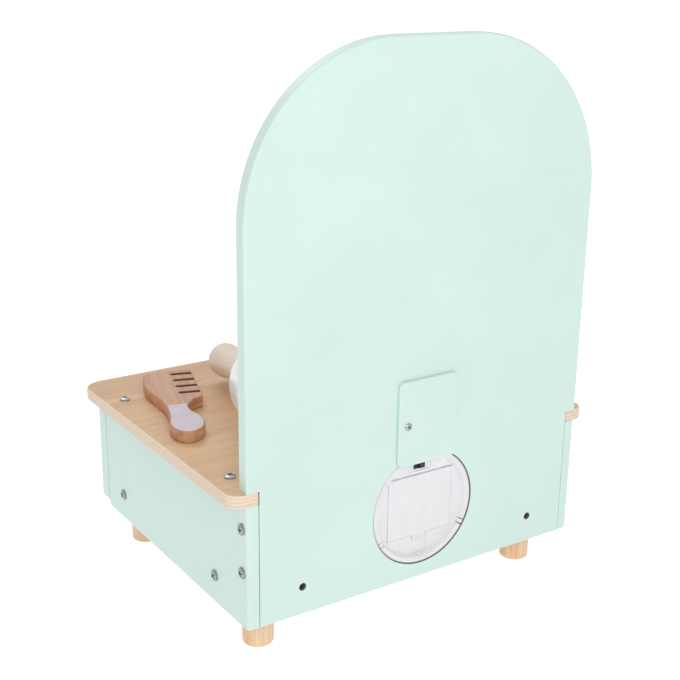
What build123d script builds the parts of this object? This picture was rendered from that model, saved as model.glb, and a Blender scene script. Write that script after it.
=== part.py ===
from build123d import *
import os
from math import asin, atan, cos, degrees, hypot, radians, sin, sqrt

# Kids vanity table: an arched back panel with a lit mirror, a plywood top, a box with one drawer and four feet.
# Millimetres. +Z is up and the front with the mirror and the drawer faces -Y. The origin is on the floor,
# under the middle of the whole object.

# Overall sizes
body_width = 320.0
body_depth = 270.0
side_height = 101.0
foot_reach = 34.0
panel_top = 461.0
knob_reach = 22.0

# Boards
back_thickness = 12.0
side_thickness = 10.0
top_thickness = 10.0
bottom_thickness = 10.0
front_thickness = 14.4
front_gap = 0.6
tongue_gap = 0.7
board_round = 2.0
side_round = 3.0
arch_radius = 125.0
top_overhang_side = 12.5
top_overhang_front = 7.0
top_front_radius = 18.0
top_rear_radius = 12.0
bottom_board_middle = 23.2

# Feet
foot_radius = 12.5
foot_round = 4.0
foot_from_side = 28.0
foot_from_rear = 34.5
foot_from_front = 30.5

# Cover plate on the rear
plate_width = 56.0
plate_height = 70.0
plate_thickness = 3.0
plate_radius = 5.0
plate_screw_x = 19.5
plate_screw_rise = 33.5

# Levels worked out from the sizes above
half_width = body_width / 2
inner_half = half_width - side_thickness
side_bottom = foot_reach
side_top = side_bottom + side_height
top_face = side_top + top_thickness
bottom_top = side_bottom + bottom_board_middle + bottom_thickness / 2
bottom_under = bottom_top - bottom_thickness
plate_screw_proud = 1.6
front_reach = body_depth + knob_reach
rear_reach = plate_thickness + plate_screw_proud
rear_y = (front_reach - rear_reach) / 2
front_face_y = rear_y - body_depth
side_front_y = front_face_y + front_thickness + front_gap
panel_front_y = rear_y - back_thickness

# Screws: radius of head, height of head, radius of shank, length of shank
wood_screw = (4.5, 2.2, 1.8, 26.0)
foot_screw = (4.5, 2.2, 1.8, 30.0)
plate_screw = (3.0, plate_screw_proud, 1.3, 9.0)
small_screw = (2.2, 1.4, 0.9, 8.0)
knob_bolt = (4.0, 2.2, 2.0, 36.0)
hole_play = 0.1

side_screw_y_front = rear_y - 220.0
side_screw_y_rear = rear_y - 51.0
side_screw_y_back = rear_y - 7.5
side_screw_z_low = side_bottom + 45.5
side_screw_z_high = side_bottom + 81.0
side_screw_z_board = bottom_top - bottom_thickness / 2
top_screw_ys = (rear_y - 221.0, rear_y - 34.0)
back_screw_x = 112.5

# Round light and battery module in the back panel
module_z = side_bottom + 60.5
module_radius = 48.0
module_hole_radius = 49.0
module_seat_radius = 45.6
module_seat_depth = 5.0
rim_inner_radius = 44.0
floor_radius = 42.0
floor_depth = 4.8
floor_thickness = 2.0
can_radius = 45.0
can_half_width = 38.0
can_low = -31.0
can_high = 39.8
can_wall = 1.8
can_depth = 27.0
cover_thickness = 2.0
door_width = 62.0
door_height = 52.0
door_middle = 1.0
door_face_depth = 4.2
door_thickness = 2.0
door_gap = 0.4
door_top_gap = 1.1
door_seat_gap = 0.3
door_tab_x = 18.0
bay_width = 57.6
bay_height = 46.4
bay_depth = 21.6
bay_wall = 1.7
cell_radius = 7.1
cell_length = 49.2
cell_pitch = 15.2
cell_depth = 14.2
cell_shift = bay_width / 2 - 0.6 - cell_length / 2 - 1.2
switch_rise = 34.5
boss_places = [(34.2, -12.0), (34.2, 14.0), (-34.2, -12.0), (-34.2, 14.0)]

# Mirror and its light on the front of the back panel
light_margin = 16.0
light_width = 9.0
light_thickness = 6.0
mirror_thickness = 3.0
mirror_gap = 0.3
light_base = top_face + light_margin
light_corner = 18.0

# Drawer
drawer_play = 2.0
drawer_wall = 8.0
drawer_height = 62.0
drawer_rear_y = rear_y - 45.0
drawer_low = bottom_top + 0.5
drawer_panel = 3.0
drawer_panel_rise = 4.0
drawer_groove = 3.0
drawer_travel = 170.0

# Loose toys on the top
toy_gap = 0.3
comb_thickness = 10.0
comb_corner = (105.6, rear_y - 171.2)
comb_turn = -107.8
comb_teeth_length = 69.0
comb_gap_width = 3.0
comb_gap_length = 20.0
comb_pitch = 15.6
comb_first_gap = 11.0
dryer_radius = 39.0
dryer_taper_start = 14.0
dryer_taper_end = 34.0
dryer_front_radius = 36.3
dryer_body_length = 58.0
dryer_place = (79.6, rear_y - 84.7)
dryer_heading = (-20.2, -138.2)
nozzle_radius = 13.5
nozzle_root = 16.0
nozzle_end = 155.0
handle_station = 26.0
handle_radius = 10.0
handle_length = 104.0
handle_lift = 1.3

rear_plane = Plane(origin=(0, rear_y, 0), x_dir=(1, 0, 0), z_dir=(0, -1, 0))
module_plane = Plane(origin=(0, rear_y, module_z), x_dir=(1, 0, 0), z_dir=(0, -1, 0))


# Shared shapes

def slab(plane, face, start, end):
    """A face drawn on a plane, made solid between two depths along the plane's normal."""
    return extrude(plane.offset(start) * face, amount=end - start)


def block(low, high):
    """An upright box between two corners."""
    size = [high[i] - low[i] for i in range(3)]
    middle = [(high[i] + low[i]) / 2 for i in range(3)]
    return Pos(*middle) * Box(*size)


def arch_face(half, base, top, radius, base_radius=0.0):
    """Upright outline with two large round corners at the top."""
    face = Pos(0, (base + top) / 2) * Rectangle(2 * half, top - base)
    face = fillet(face.vertices().sort_by(Axis.Y)[-2:], radius)
    if base_radius:
        face = fillet(face.vertices().sort_by(Axis.Y)[:2], base_radius)
    return face


def turned(points_and_curves):
    """A solid of revolution about Z from a closed outline in the XZ plane."""
    return revolve(make_face(Plane.XZ * points_and_curves), Axis.Z)


def screw(size):
    """Screw along Z: its head slopes up from a low rim and its shank ends in a point."""
    head, height, shank, length = size
    outline = Polyline(
        (0, height),
        (0.6 * head, 0.96 * height),
        (head, 0.35 * height),
        (head, 0),
        (shank, 0),
        (shank, -length + 2 * shank),
        (0, -length),
        (0, height),
    )
    return turned(outline)


def screw_hole(size, depth):
    """The hole that a screw's shank passes through, down from zero."""
    return Pos(0, 0, -depth / 2) * Cylinder(size[2] + hole_play, depth)


def placed(solid, point, direction):
    """Stand a solid that was made along Z on a point, facing a direction."""
    return Plane(origin=point, z_dir=direction).location * solid


def side_screw_places():
    """Origin and outward direction of the four screws through each side panel."""
    spots = [(side_screw_y_front, side_screw_z_board), (side_screw_y_rear, side_screw_z_board)]
    spots += [(side_screw_y_back, side_screw_z_low), (side_screw_y_back, side_screw_z_high)]
    return [((s * half_width, y, z), (s, 0, 0)) for s in (1, -1) for y, z in spots]


def top_screw_places():
    """Origins of the four screws down through the top into the side panels."""
    x = half_width - side_thickness / 2
    return [(s * x, y, top_face) for s in (1, -1) for y in top_screw_ys]


def back_screw_places():
    """Origins of the two sunk screws through the back panel into the bottom board."""
    return [(s * back_screw_x, rear_y, side_screw_z_board) for s in (1, -1)]


def foot_places():
    """Middle of each foot, by name."""
    x = half_width - foot_from_side
    rear = rear_y - foot_from_rear
    front = front_face_y + foot_from_front
    return {"rear_right": (x, rear), "rear_left": (-x, rear), "front_right": (x, front), "front_left": (-x, front)}


# Boards

def make_back_panel():
    upper = slab(rear_plane, arch_face(half_width, top_face, panel_top, arch_radius), 0, back_thickness)
    rims = upper.edges().filter_by(lambda e: e.bounding_box().size.Y < 0.01 and e.center().Z > top_face + 1)
    upper = fillet(rims, board_round)
    tongue_half = inner_half - tongue_gap
    low = (-tongue_half, panel_front_y, side_bottom)
    high = (tongue_half, rear_y, top_face + 1)
    panel = upper + block(low, high)
    panel -= slab(module_plane, Circle(module_hole_radius), 0, module_seat_depth)
    panel -= slab(module_plane, Circle(module_seat_radius), 0, back_thickness)
    channel_low = module_z + module_hole_radius - 2
    channel_high = side_top + 56
    panel -= block((-6, rear_y - 5, channel_low), (6, rear_y, channel_high))
    panel -= slab(rear_plane, Pos(0, channel_high - 6) * Circle(5), 0, back_thickness)
    for x, y, z in back_screw_places():
        panel -= placed(Pos(0, 0, -1.5) * Cylinder(2.9, 3), (x, y, z), (0, 1, 0))
        panel -= placed(screw_hole(wood_screw, back_thickness), (x, y, z), (0, 1, 0))
    for point, direction in side_screw_places():
        if point[1] == side_screw_y_back:
            panel -= placed(screw_hole(wood_screw, wood_screw[3]), point, direction)
    plate_point = (plate_screw_x, rear_y, side_top + plate_screw_rise)
    panel -= placed(screw_hole(plate_screw, plate_screw[3] - plate_thickness), plate_point, (0, 1, 0))
    return panel


def make_tabletop():
    half = half_width + top_overhang_side
    front = front_face_y - top_overhang_front
    face = Pos(0, (front + rear_y) / 2) * Rectangle(2 * half, rear_y - front)
    corners = face.vertices().sort_by(Axis.Y)
    face = fillet(corners[:2], top_front_radius)
    face = fillet(face.vertices().sort_by(Axis.Y)[-2:], top_rear_radius)
    notch_depth = back_thickness + 0.2
    face -= Pos(0, rear_y - notch_depth / 2) * Rectangle(2 * (inner_half - 0.4), notch_depth)
    board = Pos(0, 0, side_top) * extrude(face, amount=top_thickness)
    rims = board.edges().filter_by(lambda e: e.bounding_box().size.Z < 0.01)
    board = chamfer(rims, 0.6)
    for point in top_screw_places():
        board -= placed(screw_hole(wood_screw, top_thickness), point, (0, 0, 1))
    return board


def make_side_panel(side):
    inner = side * inner_half
    outer = side * half_width
    low = (min(inner, outer), side_front_y, side_bottom)
    high = (max(inner, outer), rear_y, side_top)
    board = block(low, high)
    uprights = board.edges().filter_by(Axis.Z).filter_by(lambda e: abs(e.center().X - outer) < 0.01)
    board = fillet(uprights, side_round)
    for point, direction in side_screw_places():
        if point[0] * side > 0:
            board -= placed(screw_hole(wood_screw, side_thickness), point, direction)
    for point in top_screw_places():
        if point[0] * side > 0:
            board -= placed(screw_hole(wood_screw, wood_screw[3]), point, (0, 0, 1))
    return board


def make_bottom_board():
    board = block((-inner_half, side_front_y + 3, bottom_under), (inner_half, panel_front_y, bottom_top))
    for point, direction in side_screw_places():
        if point[2] == side_screw_z_board:
            board -= placed(screw_hole(wood_screw, wood_screw[3]), point, direction)
    for point in back_screw_places():
        board -= placed(screw_hole(wood_screw, wood_screw[3] + 4), point, (0, 1, 0))
    for x, y in foot_places().values():
        board -= placed(Pos(0, 0, -1.2) * Cylinder(foot_screw[0] + 0.4, 2.4), (x, y, bottom_top), (0, 0, 1))
        board -= placed(screw_hole(foot_screw, bottom_thickness), (x, y, bottom_top), (0, 0, 1))
    return board


def make_foot(x, y):
    """Turned peg, eased in two steps round its lower end."""
    outline = Polyline(
        (0, 0),
        (foot_radius - foot_round, 0),
        (foot_radius - 0.3 * foot_round, 0.3 * foot_round),
        (foot_radius, foot_round),
        (foot_radius, bottom_under),
        (0, bottom_under),
        (0, 0),
    )
    bore_depth = foot_screw[3] - bottom_thickness + foot_screw[1]
    bore = placed(screw_hole(foot_screw, bore_depth), (0, 0, bottom_under), (0, 0, 1))
    return Pos(x, y) * (turned(outline) - bore)


# Rear cover plate

def make_cover_plate():
    face = Pos(0, side_top + plate_height / 2) * RectangleRounded(plate_width, plate_height, plate_radius)
    plate = slab(rear_plane, face, -plate_thickness, 0)
    plate = chamfer(plate.edges().group_by(Axis.Y)[-1], 0.5)
    point = (plate_screw_x, rear_y + plate_thickness, side_top + plate_screw_rise)
    return plate - placed(screw_hole(plate_screw, plate_thickness), point, (0, 1, 0))


# Light and battery module

def can_face(shrink=0.0):
    """Outline of the module's rear box: a rectangle cut off by the round hole in the panel."""
    width = 2 * (can_half_width - shrink)
    height = can_high - can_low - 2 * shrink
    return Circle(can_radius - shrink) & Pos(0, (can_high + can_low) / 2) * Rectangle(width, height)


def make_module_dish():
    """Rim, sloping wall and recessed round floor of the module."""
    outline = Polyline(
        (0, floor_depth),
        (floor_radius, floor_depth),
        (rim_inner_radius - 0.6, 0.9),
        (rim_inner_radius, 0.3),
        (module_radius - 0.8, 0.3),
        (module_radius, 1.1),
        (module_radius, module_seat_depth),
        (module_seat_radius - 0.4, module_seat_depth),
        (module_seat_radius - 0.4, floor_depth + floor_thickness),
        (0, floor_depth + floor_thickness),
        (0, floor_depth),
    )
    dish = turned(outline)
    for angle in (90, 210, 330):
        for turn in (-2.6, 2.6):
            slit = Rot(0, 0, angle + turn) * Pos(module_radius - 2.2, 0, 2) * Box(6, 0.9, 4)
            dish -= slit
    return dish


def make_battery_bay():
    """Open-topped bay under the floor, with a ledge for the door round its mouth."""
    middle = Pos(0, door_middle)
    outer = middle * Rectangle(bay_width + 2 * bay_wall, bay_height + 2 * bay_wall)
    collar = middle * Rectangle(door_width + 4, door_height + 4)
    bay = slab(Plane.XY, outer, floor_depth, bay_depth + bay_wall)
    return bay + slab(Plane.XY, collar, floor_depth, door_face_depth + door_thickness + 2.4)


def cut_door_features(housing):
    """Bay hollow, door ledge, two tab slots, thumb recess and switch slot."""
    middle = Pos(0, door_middle)
    ledge = door_face_depth + door_thickness + door_seat_gap
    housing -= slab(Plane.XY, middle * Rectangle(bay_width, bay_height), floor_depth - 1, bay_depth)
    hole_height = door_height + door_gap + door_top_gap
    hole_middle = Pos(0, door_middle + (door_top_gap - door_gap) / 2)
    door_hole = hole_middle * Rectangle(door_width + 2 * door_gap, hole_height)
    housing -= slab(Plane.XY, door_hole, floor_depth - 1, ledge)
    tab_top = door_middle + door_height / 2 + 3.4
    for x in (-door_tab_x, door_tab_x):
        slot = Pos(x, tab_top - 5) * Rectangle(6.4, 10)
        housing -= slab(Plane.XY, slot, floor_depth + 0.8, 9.2)
    thumb_top = door_middle - door_height / 2
    thumb = Pos(0, thumb_top - 8) * RectangleRounded(16, 18, 2.5)
    housing -= slab(Plane.XY, thumb, floor_depth - 1, floor_depth + 1.3)
    housing -= slab(Plane.XY, Pos(1, switch_rise) * RectangleRounded(22, 8.4, 1.5), floor_depth - 1, floor_depth + 1)
    housing -= slab(Plane.XY, Pos(1, switch_rise) * Rectangle(11, 5.4), floor_depth, floor_depth + 3)
    return housing


def make_module_housing():
    can = slab(Plane.XY, can_face(), floor_depth + floor_thickness - 0.5, can_depth)
    can -= slab(Plane.XY, can_face(can_wall), floor_depth, can_depth + 1)
    housing = make_module_dish() + can + make_battery_bay()
    for x, y in boss_places:
        housing += slab(Plane.XY, Pos(x, y) * Circle(2.6), floor_depth + 1, can_depth)
    housing = cut_door_features(housing)
    for x, y in boss_places:
        housing -= slab(Plane.XY, Pos(x, y) * Circle(small_screw[2] + hole_play), can_depth - 9, can_depth + 1)
    return module_plane.location * housing


def make_module_inner_cover():
    cover = slab(Plane.XY, can_face(), can_depth, can_depth + cover_thickness)
    for x, y in boss_places:
        cover -= slab(Plane.XY, Pos(x, y) * Circle(small_screw[2] + hole_play), can_depth - 1, can_depth + 5)
    return module_plane.location * cover


def make_module_screws():
    """Four small screws that hold the inner cover to the bosses."""
    screws = []
    for x, y in boss_places:
        point = module_plane.from_local_coords(Vector(x, y, can_depth + cover_thickness))
        screws.append(placed(screw(small_screw), point, (0, -1, 0)))
    return screws


def make_battery_door():
    """Flat door with two tabs at the top edge and a thumb tongue at the bottom edge."""
    face = Pos(0, door_middle) * RectangleRounded(door_width, door_height, 1.5)
    door = slab(Plane.XY, face, door_face_depth, door_face_depth + door_thickness)
    door = chamfer(door.edges().group_by(Axis.Z)[0], 0.4)
    top = door_middle + door_height / 2
    for x in (-door_tab_x, door_tab_x):
        door += slab(Plane.XY, Pos(x, top - 1.2) * Rectangle(5, 7.6), 5.9, 7.0)
    bottom = door_middle - door_height / 2
    tongue = Pos(0, bottom - 1.5) * RectangleRounded(12, 8, 1.5)
    door += slab(Plane.XY, tongue, door_face_depth + 0.5, door_face_depth + 1.6)
    for rise in (0.8, 2.4, 4.0):
        door += slab(Plane.XY, Pos(0, bottom - 0.9 - rise) * Rectangle(8, 0.7), door_face_depth, door_face_depth + 1)
    return module_plane.location * door


def make_batteries():
    """Three cells side by side, laid across the bay, every other one turned round."""
    cells = []
    for i in (-1, 0, 1):
        can = Cylinder(cell_radius, cell_length)
        can = chamfer(can.edges(), 0.6)
        cell = can + Pos(0, 0, cell_length / 2 + 0.5) * Cylinder(2.7, 1.4)
        facing = 1 if i else -1
        middle = Vector(facing * cell_shift, door_middle + i * cell_pitch, cell_depth)
        cell = placed(cell, middle, (facing, 0, 0))
        cells.append(module_plane.location * cell)
    return cells


def make_battery_contacts():
    """Sprung plates at both ends of each cell."""
    pieces = []
    wall = bay_width / 2
    for i in (-1, 0, 1):
        y = door_middle + i * cell_pitch
        facing = 1 if i else -1
        flat = Pos(facing * (wall - 0.3), y, cell_depth) * Box(0.6, 11, 11)
        sprung = Pos(-facing * (wall - 0.3), y, cell_depth) * Box(0.6, 11, 11)
        cone_length = wall - 0.6 - (cell_length / 2 - cell_shift)
        cone = placed(Cone(4.6, 2.4, cone_length), (-facing * (wall - 0.6 - cone_length / 2), y, cell_depth), (facing, 0, 0))
        pieces.append(module_plane.location * flat)
        pieces.append(module_plane.location * (sprung + cone))
    return pieces


def make_circuit_board():
    """Board behind the bay with a chip, two capacitors and a row of resistors."""
    low = bay_depth + bay_wall + 0.5
    board = slab(Plane.XY, Pos(0, 2) * Rectangle(50, 36), low, low + 1.2)
    board += slab(Plane.XY, Pos(-8, 6) * Rectangle(10, 6), low + 1.2, low + 2.6)
    for x in (6, 13):
        board += slab(Plane.XY, Pos(x, 8) * Circle(2.4), low + 1.2, low + 2.8)
    for i in range(4):
        board += slab(Plane.XY, Pos(-12 + 7 * i, -8) * Rectangle(3.2, 1.6), low + 1.2, low + 1.9)
    return module_plane.location * board


def make_switch_body():
    """Slide switch fixed behind the slot in the floor."""
    back = floor_depth + floor_thickness
    body = slab(Plane.XY, Pos(1, switch_rise) * Rectangle(19, 6), back, back + 5.5)
    return module_plane.location * body


def make_switch_slider():
    """Black slider that stands in the slot, drawn at the end of its travel."""
    back = floor_depth + floor_thickness
    stem = slab(Plane.XY, Pos(-1.2, switch_rise) * Rectangle(5.0, 4.2), floor_depth - 0.9, back - 0.3)
    return module_plane.location * chamfer(stem.edges().group_by(Axis.Z)[0], 0.4)


# Mirror and light

def light_outline(inset):
    """Arched outline set in from the panel's edge."""
    half = half_width - light_margin - inset
    top = panel_top - light_margin - inset
    radius = arch_radius - light_margin - inset
    corner = light_corner - inset if inset < light_corner - 2 else 2
    return arch_face(half, light_base + inset, top, radius, corner)


def make_light_diffuser():
    """Milky ring round the mirror, with a channel in its back for the light strip."""
    ring = light_outline(0) - light_outline(light_width)
    body = slab(rear_plane, ring, back_thickness, back_thickness + light_thickness)
    body = chamfer(body.edges().group_by(Axis.Y)[0], 1.2)
    channel = light_outline(2) - light_outline(light_width - 2)
    return body - slab(rear_plane, channel, back_thickness - 1, back_thickness + 3)


def make_led_strip():
    """Thin strip inside the diffuser's channel, open at the bottom where its ends meet."""
    ring = light_outline(2.5) - light_outline(light_width - 2.5)
    ring -= Pos(0, light_base) * Rectangle(6, 40)
    return slab(rear_plane, ring, back_thickness, back_thickness + 1.2)


def make_mirror_sheet():
    face = light_outline(light_width + mirror_gap)
    sheet = slab(rear_plane, face, back_thickness, back_thickness + mirror_thickness)
    return chamfer(sheet.edges().group_by(Axis.Y)[0], 0.5)


# Drawer

def drawer_walls():
    """Outer half width, rear, front and top of the drawer box."""
    return inner_half - drawer_play, drawer_rear_y, side_front_y - front_gap, drawer_low + drawer_height


def make_drawer_front():
    low = (-half_width, front_face_y, side_bottom + 1)
    high = (half_width, front_face_y + front_thickness, side_top - 1.2)
    board = block(low, high)
    board = fillet(board.edges().filter_by(Axis.Y), 6.0)
    face_edges = board.edges().group_by(Axis.Y)[0]
    board = fillet(face_edges, 2.5)
    middle = (low[2] + high[2]) / 2
    board -= placed(Cylinder(knob_bolt[2] + hole_play, 60), (0, front_face_y, middle), (0, 1, 0))
    for x, z in drawer_screw_spots():
        board -= placed(screw_hole(small_screw, 12), (x, side_front_y - front_gap + 2, z), (0, 1, 0))
    return board


def drawer_screw_spots():
    """Screws from inside the drawer box into the drawer front."""
    return [(s * 105.0, z) for s in (1, -1) for z in (drawer_low + 18, drawer_low + 46)]


def make_drawer_inner_front():
    half, rear, front, top = drawer_walls()
    board = block((-half + drawer_wall, front, drawer_low), (half - drawer_wall, front + drawer_wall, top))
    board -= drawer_bottom_block(0.1)
    middle = (side_bottom + 1 + side_top - 1.2) / 2
    board -= placed(Cylinder(knob_bolt[2] + hole_play, 60), (0, front, middle), (0, 1, 0))
    for x, z in drawer_screw_spots():
        board -= placed(screw_hole(small_screw, drawer_wall), (x, front + drawer_wall, z), (0, 1, 0))
    return board - drawer_dowel_holes()


def make_drawer_side(side):
    half, rear, front, top = drawer_walls()
    inner = side * (half - drawer_wall)
    outer = side * half
    board = block((min(inner, outer), front, drawer_low), (max(inner, outer), rear, top))
    board = fillet(board.edges().group_by(Axis.Z)[-1].filter_by(Axis.Y), 1.5)
    return board - drawer_bottom_block(0.1) - drawer_dowel_holes()


def make_drawer_back():
    half, rear, front, top = drawer_walls()
    board = block((-half + drawer_wall, rear - drawer_wall, drawer_low), (half - drawer_wall, rear, top))
    return board - drawer_bottom_block(0.1) - drawer_dowel_holes()


def drawer_bottom_block(play):
    """The drawer's bottom sheet, or with play the groove that holds it."""
    half, rear, front, top = drawer_walls()
    x = half - drawer_wall + drawer_groove + play
    low = drawer_low + drawer_panel_rise
    return block(
        (-x, front + drawer_wall - drawer_groove - play, low - play),
        (x, rear - drawer_wall + drawer_groove + play, low + drawer_panel + play),
    )


def make_drawer_bottom():
    return drawer_bottom_block(0)


def drawer_dowel_places():
    """Dowels through the drawer sides into the ends of the inner front and the back."""
    half, rear, front, top = drawer_walls()
    ys = (front + drawer_wall / 2, rear - drawer_wall / 2)
    zs = (drawer_low + 16, drawer_low + 50)
    return [((s * half, y, z), (s, 0, 0)) for s in (1, -1) for y in ys for z in zs]


def drawer_dowel_holes():
    holes = [placed(Pos(0, 0, -11) * Cylinder(2.55, 22), point, way) for point, way in drawer_dowel_places()]
    return Compound(children=holes)


def make_drawer_dowels():
    return [placed(Pos(0, 0, -11) * Cylinder(2.5, 21.8), point, way) for point, way in drawer_dowel_places()]


def make_drawer_screws():
    half, rear, front, top = drawer_walls()
    return [placed(screw(small_screw_long()), (x, front + drawer_wall, z), (0, 1, 0)) for x, z in drawer_screw_spots()]


def small_screw_long():
    """The small screw with a shank long enough to reach into the drawer front."""
    return (small_screw[0] + 0.8, small_screw[1], small_screw[2], 17.0)


def make_drawer_knob():
    """Turned wooden knob with a narrow neck and a domed face."""
    middle = (side_bottom + 1 + side_top - 1.2) / 2
    outline = Polyline(
        (0, 0),
        (8.5, 0),
        (8.5, 1.5),
        (7.0, 4.0),
        (7.0, 8.0),
        (9.5, 11.0),
        (12.9, 12.6),
        (14.0, 15.5),
        (13.0, 18.6),
        (10.2, 21.0),
        (0, knob_reach),
        (0, 0),
    )
    knob = turned(outline) - Pos(0, 0, 6) * Cylinder(knob_bolt[2] + hole_play, 12)
    return placed(knob, (0, front_face_y, middle), (0, -1, 0))


def make_knob_screw():
    half, rear, front, top = drawer_walls()
    middle = (side_bottom + 1 + side_top - 1.2) / 2
    length = front + drawer_wall - front_face_y + 10
    size = (knob_bolt[0], knob_bolt[1], knob_bolt[2], length)
    return placed(screw(size), (0, front + drawer_wall, middle), (0, 1, 0))


# Loose toys

def make_comb():
    """Thick comb with four wide gaps and an offset rounded grip."""
    teeth = Line((0, 0), (comb_teeth_length, 0))
    end = Line((comb_teeth_length, 0), (comb_teeth_length - 2, 33))
    corner = ThreePointArc((comb_teeth_length - 2, 33), (63.5, 40.5), (56, 43.6))
    back = Spline(
        (56, 43.6),
        (32, 44.6),
        (8, 39),
        (-12, 34),
        (-37, 33.7),
        (-56, 36),
        (-70, 33),
        (-77, 23),
        (-71, 13),
        (-58, 8),
        (-44, 9.4),
        (-30, 15),
        (-18, 15),
        (-7, 9),
        (0, 0),
    )
    blank = extrude(make_face(teeth + end + corner + back), amount=comb_thickness)
    for i in range(4):
        middle = comb_first_gap + comb_pitch * i
        gap = Pos(middle, comb_gap_length / 2 - 5) * SlotOverall(comb_gap_length + 10, comb_gap_width, rotation=90)
        blank -= extrude(gap, amount=comb_thickness)
    blank = chamfer(blank.edges().group_by(Axis.Z)[-1], 0.7)
    return Pos(comb_corner[0], comb_corner[1], top_face + toy_gap) * Rot(0, 0, comb_turn) * blank


def dryer_frame():
    """Plane at the middle of the dryer's rear face, with its normal along the barrel towards the nozzle."""
    tilt = atan((dryer_radius - dryer_front_radius) / (dryer_taper_end - dryer_taper_start))
    run = hypot(*dryer_heading)
    ahead = Vector(dryer_heading[0] / run, dryer_heading[1] / run, 0)
    along = ahead * cos(tilt) - Vector(0, 0, 1) * sin(tilt)
    rest = Vector(dryer_place[0], dryer_place[1], top_face + toy_gap + dryer_radius * cos(tilt))
    across = Vector(ahead.Y, -ahead.X, 0)
    return Plane(origin=rest - along * dryer_taper_start, x_dir=across, z_dir=along), tilt


def handle_plane():
    """Plane on the barrel's axis with its normal along the handle, which leans down to the top."""
    frame, tilt = dryer_frame()
    start = frame.origin + frame.z_dir * handle_station
    drop = start.Z - top_face - toy_gap - handle_lift
    reach = hypot(handle_length, handle_radius)
    fall = (drop * handle_length - handle_radius * sqrt(reach**2 - drop**2)) / reach**2
    lean = asin(fall / cos(tilt))
    under = frame.z_dir.cross(frame.x_dir)
    if under.Z > 0:
        under = under * -1
    return Plane(origin=start, z_dir=frame.x_dir * cos(lean) + under * sin(lean))


def make_dryer_body():
    """Turned barrel: rounded rear edge, slightly tapered middle and rounded shoulder."""
    slope = (dryer_front_radius - dryer_radius, dryer_taper_end - dryer_taper_start)
    rear = Polyline((0, 0), (dryer_radius - 13, 0))
    heel = Spline((dryer_radius - 13, 0), (dryer_radius, dryer_taper_start), tangents=[(1, 0), slope])
    middle = Line((dryer_radius, dryer_taper_start), (dryer_front_radius, dryer_taper_end))
    front = (nozzle_root + 1, dryer_body_length)
    shoulder = Spline((dryer_front_radius, dryer_taper_end), front, tangents=[slope, (-1, 0.12)])
    close = Polyline(front, (0, dryer_body_length), (0, 0))
    barrel = turned(rear + heel + middle + shoulder + close)
    barrel -= Pos(0, 0, dryer_body_length - 5) * Cylinder(9.1, 10)
    frame, tilt = dryer_frame()
    barrel = frame.location * barrel
    socket = handle_plane().location * (Pos(0, 0, 35) * Cylinder(handle_radius - 0.7, 20))
    return barrel - socket


def make_dryer_nozzle():
    """Turned nozzle with a tenon into the barrel, a slow taper and a soft, dished mouth."""
    start = dryer_body_length
    tenon = Polyline((0, start - 9), (9, start - 9), (9, start), (nozzle_root, start))
    taper = Line((nozzle_root, start), (nozzle_radius, nozzle_end - 8))
    lip = TangentArc((nozzle_radius, nozzle_end - 8), (9.5, nozzle_end), tangent=(0, 1))
    dish = Polyline((9.5, nozzle_end), (0, nozzle_end - 1.8), (0, start - 9))
    nozzle = turned(tenon + taper + lip + dish)
    frame, tilt = dryer_frame()
    return frame.location * nozzle


def make_dryer_handle():
    """Turned handle let into a socket in the barrel, with a rounded end."""
    neck = handle_radius - 0.8
    wide = handle_length
    end = handle_length + 13
    root = Polyline((0, 25.5), (neck, 25.5), (neck, 38))
    waist = Line((neck, 38), (handle_radius, wide))
    heel = TangentArc((handle_radius, wide), (5.0, end - 1.0), tangent=(0, 1))
    tip = Polyline((5.0, end - 1.0), (0, end), (0, 25.5))
    return handle_plane().location * turned(root + waist + heel + tip)


# The whole set of pieces

def make_parts():
    parts = {
        "back_panel": make_back_panel(),
        "tabletop": make_tabletop(),
        "side_panel_right": make_side_panel(1),
        "side_panel_left": make_side_panel(-1),
        "bottom_board": make_bottom_board(),
        "cover_plate": make_cover_plate(),
        "module_housing": make_module_housing(),
        "module_inner_cover": make_module_inner_cover(),
        "module_screws": make_module_screws(),
        "battery_door": make_battery_door(),
        "batteries": make_batteries(),
        "battery_contacts": make_battery_contacts(),
        "circuit_board": make_circuit_board(),
        "switch_body": make_switch_body(),
        "switch_slider": make_switch_slider(),
        "mirror_sheet": make_mirror_sheet(),
        "light_diffuser": make_light_diffuser(),
        "led_strip": make_led_strip(),
        "drawer_front": make_drawer_front(),
        "drawer_inner_front": make_drawer_inner_front(),
        "drawer_side_right": make_drawer_side(1),
        "drawer_side_left": make_drawer_side(-1),
        "drawer_back": make_drawer_back(),
        "drawer_bottom": make_drawer_bottom(),
        "drawer_dowels": make_drawer_dowels(),
        "drawer_screws": make_drawer_screws(),
        "drawer_knob": make_drawer_knob(),
        "knob_screw": make_knob_screw(),
        "comb": make_comb(),
        "dryer_body": make_dryer_body(),
        "dryer_nozzle": make_dryer_nozzle(),
        "dryer_handle": make_dryer_handle(),
    }
    for name, (x, y) in foot_places().items():
        parts["foot_" + name] = make_foot(x, y)
    sunk_screw = (2.7, 1.2, wood_screw[2], wood_screw[3])
    parts["side_screws"] = [placed(screw(wood_screw), point, way) for point, way in side_screw_places()]
    parts["tabletop_screws"] = [placed(screw(wood_screw), point, (0, 0, 1)) for point in top_screw_places()]
    parts["back_screws"] = [placed(screw(sunk_screw), (x, y - 3.0, z), (0, 1, 0)) for x, y, z in back_screw_places()]
    parts["foot_screws"] = [
        placed(screw(foot_screw), (x, y, bottom_top - 2.4), (0, 0, 1)) for x, y in foot_places().values()
    ]
    plate_point = (plate_screw_x, rear_y + plate_thickness, side_top + plate_screw_rise)
    parts["cover_plate_screw"] = placed(screw(plate_screw), plate_point, (0, 1, 0))
    return parts


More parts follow.
